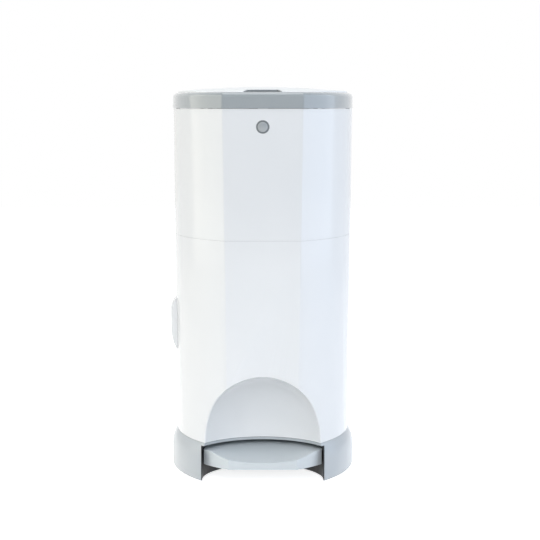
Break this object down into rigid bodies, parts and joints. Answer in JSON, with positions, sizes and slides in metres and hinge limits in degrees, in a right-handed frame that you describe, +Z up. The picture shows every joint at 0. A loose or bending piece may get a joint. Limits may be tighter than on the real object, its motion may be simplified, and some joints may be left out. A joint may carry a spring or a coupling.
{
  "type": "nappy bin",
  "caption": "Pedal-operated nappy bin: faceted white body, grey lid ring with a domed flap, trap door, lower front door with a toe recess, and a flared base.",
  "frame": {"origin": "centre of the footprint on the floor", "axes": "+Z up, the front with its pedal faces -Y, +X to the viewer's right"},
  "size_m": [0.303, 0.3239, 0.6272],
  "materials": {
    "white_shell": "gloss",
    "grey_lid": "satin",
    "pale_flap": "satin",
    "grey_base": "satin",
    "inner_plastic": "satin",
    "lever_plastic": "matte",
    "rubber": "matte",
    "steel": "satin"
  },
  "bodies": {
    "bin": {"base": "grey_base", "alcove_lining": "lever_plastic", "rubber_feet": "rubber", "housing": "white_shell", "housing_screws": "steel", "top_frame": "inner_plastic", "frame_screws": "steel", "liner_funnel": "inner_plastic", "rod_guide_lower": "inner_plastic", "rod_guide_upper": "inner_plastic", "guide_screws": "steel", "pedal_axle": "steel", "rod_spring": "steel", "lid_hinge_pin": "steel", "door_pins": "steel", "strike": "inner_plastic", "button_bezel": "grey_lid", "button_spring": "steel", "button_bracket": "inner_plastic"},
    "pedal": {"pedal": "grey_base", "pedal_lever": "lever_plastic", "lever_screws": "steel"},
    "rod": {"push_rod": "steel", "rod_foot": "inner_plastic", "rod_collar": "inner_plastic", "rod_head": "inner_plastic"},
    "lid": {"lid": "grey_lid", "lid_inner": "inner_plastic", "lid_screws": "steel", "lid_seal": "rubber", "lid_catch": "inner_plastic", "flap_hinge_pin": "steel", "trap_hinge_pin": "steel"},
    "flap": {"flap": "pale_flap", "finger_grip": "grey_lid"},
    "trap": {"trap_door": "inner_plastic", "trap_seal": "rubber"},
    "button": {"button": "grey_lid", "latch_slide": "inner_plastic"},
    "door": {"door": "white_shell", "door_handle": "white_shell", "handle_screws": "steel", "door_catch": "inner_plastic", "liner_cutter": "inner_plastic", "cutter_blade": "steel"}
  },
  "joints": [
    {"name": "pedal_hinge", "type": "hinge", "parent": "bin", "child": "pedal", "pos_m": [0, -0.065, 0.032], "axis": [1, 0, 0], "range_deg": [0, 8.5], "stiffness_Nm_per_rad": 2, "springref_deg": -20.05},
    {"name": "rod_slide", "type": "slide", "parent": "bin", "child": "rod", "axis": [0, 0, 1], "range_m": [0, 0.0301], "deforming": ["rod_spring"]},
    {"name": "lid_hinge", "type": "hinge", "parent": "bin", "child": "lid", "pos_m": [0, 0.161, 0.593], "axis": [-1, 0, 0], "range_deg": [0, 90]},
    {"name": "flap_hinge", "type": "hinge", "parent": "lid", "child": "flap", "pos_m": [0, 0.125, 0.61612], "axis": [-1, 0, 0], "range_deg": [0, 75.1]},
    {"name": "trap_hinge", "type": "hinge", "parent": "lid", "child": "trap", "pos_m": [0, 0.082, 0.588], "axis": [1, 0, 0], "range_deg": [0, 75.1]},
    {"name": "button_slide", "type": "slide", "parent": "bin", "child": "button", "axis": [0, 1, 0], "range_m": [0, 0.0035], "stiffness_N_per_m": 400, "springref_m": -0.002, "deforming": ["button_spring"]},
    {"name": "door_hinge", "type": "hinge", "parent": "bin", "child": "door", "pos_m": [0.13672, 0.03, 0.225], "axis": [0, 0, 1], "range_deg": [0, 90]}
  ],
  "couplings": [
    {"joint": "rod_slide", "follows": "pedal_hinge", "m_per_rad": 0.20222},
    {"joint": "flap_hinge", "follows": "pedal_hinge", "ratio": 8.8235},
    {"joint": "trap_hinge", "follows": "pedal_hinge", "ratio": 8.8235}
  ]
}
